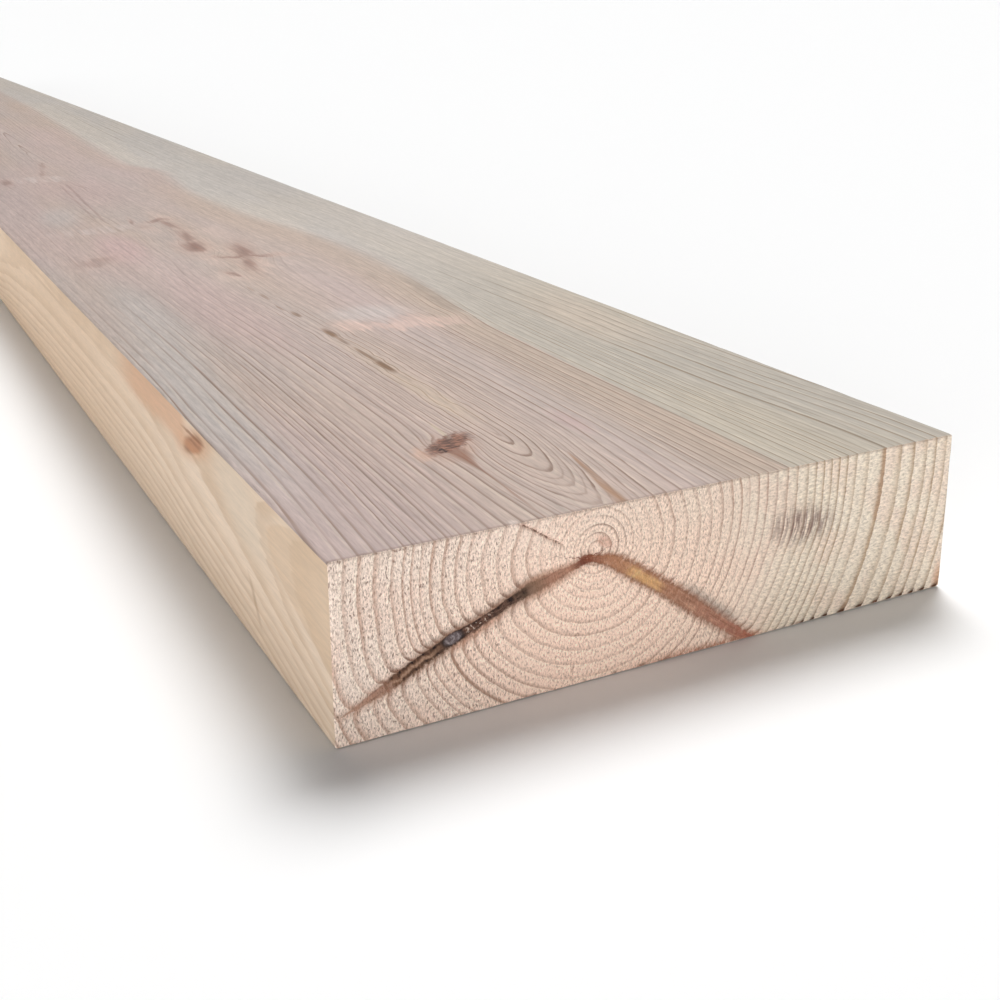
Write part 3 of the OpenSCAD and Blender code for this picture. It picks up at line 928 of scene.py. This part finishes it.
end_c = t.mix(t.mul(L_mid, t.mul(t.step(by_pith, 0.3, 1.1, 0.45, 1.0), t.mul(t.step(heart, -10, 6), t.lerp(rnd, 0, 1, 0.06, 0.36)))), end_c, rgb(196, 158, 136))
r15 = t.mul(t.step(t.abs(t.sub(k, 14.93)), 0.28, 0.08), t.mul(t.step(P, 52, 44), t.step(H, 26, 18)))
end_c = t.mix(t.mul(t.mul(r15, near_f), 0.48), end_c, rgb(146, 110, 90))
# bright band after each ring line: partly paler earlywood, partly a painted highlight on the ring's step
pale_band_and_highlight = t.step(t.abs(t.sub(f, 0.08)), 0.15, 0.0)
end_c = t.mix(t.mul(pale_band_and_highlight, 0.35), end_c, rgb(240, 226, 208))
red_r = t.mul(t.mul(t.mul(L_mid, strong), t.step(n_med, 0.45, 0.6)), near_f)
end_c = t.mix(t.mul(red_r, 0.35), end_c, rgb(172, 128, 102))
# dark pits: painted shade in the hollows, which the bump also sinks
pits_and_shade = t.mul(t.step(n_pit, 0.62, 0.70), t.mul(t.mixf(m_r, t.lerp(m_l, 0, 1, 0.35, 1.0), 0.10), t.step(f, 0.97, 0.80)))
end_c = t.mix(t.mul(pits_and_shade, 0.66), end_c, rgb(122, 88, 72))
# lighter and darker with the strokes: partly fibre colour, partly painted shade and highlight of the torn fibres
saw_tone_and_shade = t.mixf(m_r, t.lerp(n_saw, 0.24, 0.76, 1.48, 0.62), t.lerp(n_saw, 0.24, 0.76, 1.34, 0.70))

# darker, warmer where the strokes run: painted shade of the torn fibres
end_c = t.mix(t.mul(t.step(n_saw, 0.48, 0.70), t.mixf(m_r, t.mixf(m_l, 0.44, 0.34), 0.14)), end_c, rgb(180, 134, 104))

# spike knots of the near end
lt_, lq_, lo_ = t.attr("l_t"), t.attr("l_q"), t.attr("l_out")
rt_, rq_, ro_ = t.attr("r_t"), t.attr("r_q"), t.attr("r_out")
above_l, above_r = t.step(t.attr("l_d"), -0.2, 0.7), t.step(t.attr("r_d"), -0.2, 0.7)
barb = t.mul(L_mid, t.max(t.mul(t.mul(t.step(lo_, 4.6, 0.2), t.between(lt_, 14, 22, 58, 68)), t.lerp(above_l, 0, 1, 0.55, 1.0)), t.mul(t.step(ro_, 2.6, 0.0), t.lerp(above_r, 0, 1, 0.25, 0.7))))
end_c = t.mix(t.mul(t.math("MULTIPLY", barb, near_f, clamp=True), 0.9), end_c, rgb(112, 78, 64))
hal_l = t.mul(t.mul(t.step(lo_, 3.2, 0.0), t.between(lt_, 10, 19, 46, 60)), t.lerp(above_l, 0, 1, 0.45, 1.0))
end_c = t.mix(t.mul(t.mul(hal_l, near_f), 0.72), end_c, rgb(122, 98, 84))
rosy = t.mul(t.mul(t.step(lo_, 2.8, 0.2), t.between(lt_, 26, 32, 40, 46)), t.lerp(above_l, 1, 0, 0.0, 1.0))
end_c = t.mix(t.mul(t.mul(rosy, near_f), 0.6), end_c, rgb(204, 158, 134))
hal_r = t.mul(t.mul(t.step(ro_, 4.2, 0.1), t.between(rt_, 32, 40, 54, 62)), above_r)
end_c = t.mix(t.mul(t.mul(hal_r, near_f), 0.75), end_c, rgb(148, 134, 124))
warm_e = t.mul(t.max(t.step(lo_, 2.0, 0.0), t.step(ro_, 1.5, 0.0)), near_f)
end_c = t.mix(t.mul(warm_e, 0.45), end_c, rgb(170, 126, 102))

pale_j = t.mul(t.mul(t.step(lo_, 2.4, 0.2), t.between(lt_, 2, 6, 16, 24)), near_f)
end_c = t.mix(t.mul(pale_j, 0.5), end_c, rgb(188, 144, 120))
l_n = t.noise(t.join(t.mul(lt_, 0.85), t.mul(lq_, 1.2)), 3.0, 0.65)
l_long = t.noise(t.join(t.mul(lt_, 0.20), t.mul(lq_, 1.6), 4.0), 3.0, 0.6)
l_in = t.mul(t.step(t.mad(t.sub(l_n, 0.5), 1.5, t.abs(lq_)), 1.35, 0.7), near_f)
l_in = t.mul(l_in, t.max(t.between(lt_, 15, 20, 60, 64), t.step(lt_, 3, 8, 0.95, 0.78)))
l_col = t.ramp(t.mul(lt_, 1 / 80), [(0.0, rgb(120, 66, 50)), (0.04, rgb(136, 84, 66)), (0.08, rgb(170, 120, 96)), (0.15, rgb(158, 110, 88)),
                                    (0.20, rgb(120, 90, 70)), (0.25, rgb(92, 72, 58)), (0.30, rgb(112, 84, 70)), (0.46, rgb(116, 84, 70)),
                                    (0.58, rgb(120, 90, 72)), (0.72, rgb(128, 94, 74)), (0.79, rgb(152, 108, 86)), (0.85, rgb(174, 130, 108)),
                                    (1.0, rgb(186, 146, 124))])
l_col = t.mix(t.mul(t.step(l_long, 0.52, 0.36), 0.55), l_col, rgb(84, 56, 44))
qw = t.mad(t.sub(t.noise(t.join(t.mul(lt_, 0.30), 3.0, 0.0), 2.0, 0.6), 0.5), 2.0, lq_)
tan = t.mul(t.step(t.abs(t.add(qw, 0.05)), 0.36, 0.05), t.between(lt_, 46, 50, 59, 64))
l_col = t.mix(t.mul(tan, t.step(l_n, 0.36, 0.56, 0.35, 0.95)), l_col, rgb(176, 142, 118))
line_n = t.lerp(t.noise(t.join(t.mul(lt_, 0.6), 9.0, 0.0), 2.0, 0.6), 0.38, 0.6, 0.15, 1.0)
up_l = t.mul(t.step(t.abs(t.sub(qw, 0.62)), 0.42, 0.14), t.between(lt_, 18, 24, 59, 64))
lw_l = t.mul(t.step(t.abs(t.add(qw, 0.60)), 0.36, 0.12), t.between(lt_, 21, 26, 57, 63))
md_l = t.mul(t.step(t.abs(t.mad(t.sub(l_long, 0.5), 3.0, qw)), 0.3, 0.08), t.between(lt_, 17, 21, 34, 38))
l_col = t.mix(t.mul(t.max(t.max(up_l, md_l), t.mul(lw_l, 0.85)), line_n), l_col, rgb(34, 24, 23))
poc = t.math("SQRT", t.add(t.math("POWER", t.mul(t.sub(lt_, 42.0), 1 / 2.7), 2.0), t.math("POWER", t.mul(lq_, 1 / 0.8), 2.0)))
l_col = t.mix(t.mul(t.step(poc, 1.5, 1.05), 0.8), l_col, rgb(40, 31, 32))
glint = t.noise(t.join(t.mul(lt_, 0.9), t.mul(lq_, 1.4), 6.0), 2.0, 0.6)
l_col = t.mix(t.step(poc, 1.1, 0.75), l_col, t.mix(t.step(glint, 0.40, 0.80), rgb(96, 83, 84), rgb(168, 156, 156)))
speck = t.mul(t.step(t.noise(t.join(t.mul(lt_, 1.0), t.mul(lq_, 1.6), 3.3), 1.0, 0.5), 0.56, 0.64), t.mul(t.between(lt_, 29, 32, 37, 39), t.step(t.abs(lq_), 0.7, 0.3)))
l_col = t.mix(t.mul(speck, 0.9), l_col, rgb(206, 184, 168))
end_c = t.mix(l_in, end_c, l_col)

r_n = t.noise(t.join(t.mul(rt_, 0.85), t.mul(rq_, 1.1), 8.0), 3.0, 0.65)
r_long = t.noise(t.join(t.mul(rt_, 0.13), t.mul(rq_, 2.2), 5.0), 3.0, 0.6)
r_in = t.mul(t.step(t.mad(t.sub(r_n, 0.5), 1.7, t.mul(t.abs(rq_), t.step(rt_, 36, 60, 1.0, 1.25))), 1.28, 0.70), 0.92)
r_col = t.ramp(t.mul(rt_, 1 / 80), [(0.0, rgb(124, 66, 48)), (0.05, rgb(142, 84, 58)), (0.10, rgb(172, 118, 86)), (0.20, rgb(176, 124, 88)), (0.36, rgb(164, 112, 82)),
                                    (0.48, rgb(164, 116, 92)), (0.62, rgb(176, 124, 102)), (0.76, rgb(174, 114, 94)), (0.84, rgb(170, 102, 80)), (1.0, rgb(164, 100, 80))])
amb = t.mul(t.between(rt_, 13, 18, 26, 31), t.step(t.abs(t.add(rq_, 0.15)), 0.85, 0.35))
r_col = t.mix(t.mul(amb, 0.8), r_col, t.mix(t.step(r_long, 0.35, 0.65), rgb(208, 156, 98), rgb(226, 182, 126)))
rung = t.mul(t.step(t.abs(t.sub(t.mad(rq_, -1.1, rt_), 18.6)), 0.7, 0.15), t.step(t.abs(rq_), 0.9, 0.5))
r_col = t.mix(t.mul(rung, 0.6), r_col, rgb(222, 186, 132))
r_col = t.mix(t.mul(t.step(r_long, 0.48, 0.34), t.lerp(amb, 0, 1, 0.5, 0.2)), r_col, rgb(112, 70, 52))
r_col = t.mix(t.mul(t.mul(t.step(r_long, 0.55, 0.70), t.step(rt_, 28, 36)), 0.6), r_col, rgb(202, 160, 132))
r_col = t.mix(t.mul(t.step(r_n, 0.48, 0.66), 0.4), r_col, rgb(204, 158, 130))
r_rim = t.mul(t.step(t.abs(t.sub(t.abs(rq_), 0.92)), 0.36, 0.05), 0.45)
r_col = t.mix(r_rim, r_col, rgb(116, 74, 54))

# pith, smudge, stain, tears darkened with painted shade, cracks
joint = t.mul(t.step(t.oval(P, t.mad(t.sub(n_pit, 0.5), 1.6, H), 71.3, 35.7, 2.3, 1.25, -14), 1.3, 0.5), near_f)
arcs = t.mul(t.mul(t.step(t.oval(P, H, 78.5, 42, 8, 6, -30), 1.2, 0.4), L_thin), near_f)
end_c = t.mix(t.mul(arcs, 0.55), end_c, rgb(150, 116, 100))
blush = t.mul(t.step(t.oval(P, H, 77, 39.8, 3.2, 1.6, -35), 1.3, 0.4), near_f)
end_c = t.mix(t.mul(blush, 0.6), end_c, rgb(200, 152, 132))
sm_n = t.noise(t.join(t.mul(t.attr("ring"), 2.6), t.mul(H, 0.11), 2.0), 2.0, 0.55)
sm = t.mul(t.step(t.oval(t.mad(H, 0.25, P), H, 151.5, 31.6, 13.5, 6.8), 1.25, 0.25), near_f)
sm = t.mul(sm, t.max(t.step(sm_n, 0.36, 0.62), t.mul(L_mid, 0.9)))
end_c = t.mix(t.mul(sm, 0.90), end_c, rgb(132, 106, 98))
low = t.step(H, 3.2, 0.0)
stain = t.mul(t.mul(low, t.between(P, 74, 108, 127, 134)), near_f)
end_c = t.mix(t.sat(stain, t.lerp(n_pit, 0.35, 0.6, 0.35, 0.95)), end_c, rgb(174, 112, 84))
rust = t.mul(t.step(t.oval(P, H, 199.5, 3.0, 3.2, 6.5), 1.3, 0.3), near_f)
end_c = t.mix(t.mul(rust, 0.55), end_c, rgb(196, 134, 96))
# the torn recesses along the bottom edge, darkened: painted shade in the hollows
end_c = t.mix(t.sat(t.mul(t.attr("tear_and_shade"), t.step(f, 0.42, 0.82)), 2.2), end_c, rgb(84, 54, 36))
nicks = t.mul(t.mul(t.step(H, 1.5, 0.5), t.step(t.noise(t.scaled(obj, (1, 260, 1)), 1.0, 0.5), 0.56, 0.66)), near_f)
end_c = t.mix(t.mul(nicks, 0.65), end_c, rgb(140, 100, 78))
dash = t.step(t.noise(t.join(t.mul(t.attr("crack_t"), 1.15), 0.0, 0.0), 1.0, 0.5), 0.40, 0.54)
ck = t.mul(t.step(t.attr("crack"), 0.36, 0.12), t.mul(t.max(t.lerp(dash, 0, 1, 0.18, 1.0), t.step(t.attr("crack_t"), 6.0, 4.0, 0.0, 0.8)), t.step(t.attr("crack_t"), 19.5, 15.0)))
end_c = t.mix(t.mul(ck, 0.85), end_c, rgb(84, 50, 42))
cw = t.mul(t.step(t.attr("crack"), 1.2, 0.3), t.step(t.attr("crack_t"), 19.5, 12.0))
end_c = t.mix(t.mul(cw, 0.22), end_c, rgb(196, 150, 132))
hk = t.mul(t.step(t.attr("check"), 0.34, 0.10), t.step(t.attr("check_t"), 8.5, 5.0))
end_c = t.mix(t.mul(hk, 0.8), end_c, rgb(140, 98, 80))
end_c = t.mix(t.mul(joint, 0.85), end_c, rgb(120, 66, 50))
# painted shade: a thin dark line along the end's top edge, under the eased arris
painted_edge_shade_end = t.mul(t.step(H, 49.0, 49.9), near_f)
end_c = t.mix(t.mul(painted_edge_shade_end, 0.45), end_c, rgb(158, 130, 114))
# the torn tuft at the top corner, paler: partly a painted highlight
end_c = t.mix(t.sat(t.attr("chip_and_highlight"), 1.2), end_c, rgb(240, 218, 206))
# painted shade: the end is made darker over its upper middle, where the light falls brighter than near the floor
painted_upper_shade = t.step(t.oval(P, H, 106, 45, 42, 25), 1.3, 0.3, 1.0, 0.94)
end_c = times(t, end_c, t.mul(painted_upper_shade, t.mixf(t.mul(l_in, 0.55), saw_tone_and_shade, 1.0)))
# the same strokes on the right spike knot: partly fibre colour, partly painted shade and highlight
r_col = times(t, r_col, t.lerp(n_saw, 0.25, 0.75, 1.28, 0.74))
t.put(bsdf.inputs["Base Color"], t.mix(r_in, end_c, r_col))
rgh = t.mixf(t.mul(t.mul(t.step(poc, 1.3, 0.8), near_f), l_in), 0.85, 0.22)
t.put(bsdf.inputs["Roughness"], t.mixf(t.mul(r_in, 0.7), rgh, 0.52))
h_end = t.add(t.mul(n_saw, -0.75), t.add(t.mul(L_mid, -0.22), t.mul(pits_and_shade, -0.55)))
relief(t, bsdf, t.sub(h_end, t.mul(ck, 0.8)), 0.6)

for m_ in (mat_top, mat_side, mat_end):
    me.materials.append(m_)
kind = np.full(len(faces), 2, dtype=np.int32)
kind[:NR * (NS - 1)] = np.repeat([0 if n == "top" else 1 for n in col_face], NS - 1)
me.polygons.foreach_set("material_index", kind)
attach(plank, "root")
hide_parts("plank")

# ---------------------------------------------------------------------------
# Floor, light and camera
# ---------------------------------------------------------------------------
fm = bpy.data.meshes.new("floor")
z0 = lo.z - 0.0002
FAR = 90.0
fm.from_pydata([(-FAR, -FAR, z0), (FAR, -FAR, z0), (FAR, FAR, z0), (-FAR, FAR, z0)], [], [(0, 1, 2, 3)])
floor = bpy.data.objects.new("floor", fm)
bpy.context.scene.collection.objects.link(floor)
fmat = bpy.data.materials.new("floor_pale")
fmat.use_nodes = True
fb = fmat.node_tree.nodes["Principled BSDF"]
fb.inputs["Base Color"].default_value = (0.93, 0.93, 0.93, 1)
fb.inputs["Roughness"].default_value = 0.9
fb.inputs["Specular IOR Level"].default_value = 0.1
fm.materials.append(fmat)

# a white studio: bright along the horizon, dimmer overhead
world = bpy.data.worlds.new("studio")
bpy.context.scene.world = world
world.use_nodes = True
wt = world.node_tree
bg = wt.nodes["Background"]
bg.inputs["Color"].default_value = (1.0, 1.0, 1.0, 1)
tc = wt.nodes.new("ShaderNodeTexCoord")
sp = wt.nodes.new("ShaderNodeSeparateXYZ")
mr = wt.nodes.new("ShaderNodeMapRange")
mr.interpolation_type = "SMOOTHSTEP"
mr.inputs["From Min"].default_value = 0.0
mr.inputs["From Max"].default_value = 0.20
mr.inputs["To Min"].default_value = 1.0
mr.inputs["To Max"].default_value = 0.15
wt.links.new(tc.outputs["Generated"], sp.inputs[0])
wt.links.new(sp.outputs[2], mr.inputs["Value"])
wt.links.new(mr.outputs["Result"], bg.inputs["Strength"])


def sun(name, towards, strength, angle, colour=(1, 1, 1)):
    d = bpy.data.lights.new(name, "SUN")
    d.energy, d.angle, d.color = strength, math.radians(angle), colour
    o = bpy.data.objects.new(name, d)
    o.rotation_mode = "QUATERNION"
    o.rotation_quaternion = Vector(towards).to_track_quat("Z", "Y")
    bpy.context.scene.collection.objects.link(o)
    return o


sun("key_low", (-0.42, 0.37, 0.83), 1.57, 29)
sun("key_high", (-0.46, 0.26, 0.85), 1.57, 29)
sun("fill", (0.81, -0.85, 0.08), 2.28, 30)

cam_d = bpy.data.cameras.new("camera")
cam = bpy.data.objects.new("camera", cam_d)
bpy.context.scene.collection.objects.link(cam)
bpy.context.scene.camera = cam
FOCAL, CY = 1342.6413, 380.0
AZ, EL, ROLL = [math.radians(a) for a in (62.5341, 16.2964, -0.2817)]
back = Vector((math.sin(AZ) * math.cos(EL), -math.cos(AZ) * math.cos(EL), math.sin(EL)))
right = Vector((math.cos(AZ), math.sin(AZ), 0))
up = back.cross(right)
r2 = right * math.cos(ROLL) + up * math.sin(ROLL)
u2 = -right * math.sin(ROLL) + up * math.cos(ROLL)
rot = Matrix((r2, u2, back)).transposed()
cam.matrix_world = Matrix.Translation(Vector((hi.x + 0.2773, lo.y - 0.09804, lo.z + 0.17978))) @ rot.to_4x4()
cam_d.sensor_width = 36
cam_d.lens = FOCAL * 36 / 1000
cam_d.shift_y = (CY - 500) / 1000
cam_d.clip_start, cam_d.clip_end = 0.01, 300

vs_ = bpy.context.scene.view_settings
vs_.view_transform = "Standard"
vs_.look = "None"
vs_.exposure = 0.0
vs_.gamma = 1.0

print("triangles", sum(len(p) - 2 for p in faces), "rows", NS, "section", NR, "nodes", [len(m_.node_tree.nodes) for m_ in me.materials])
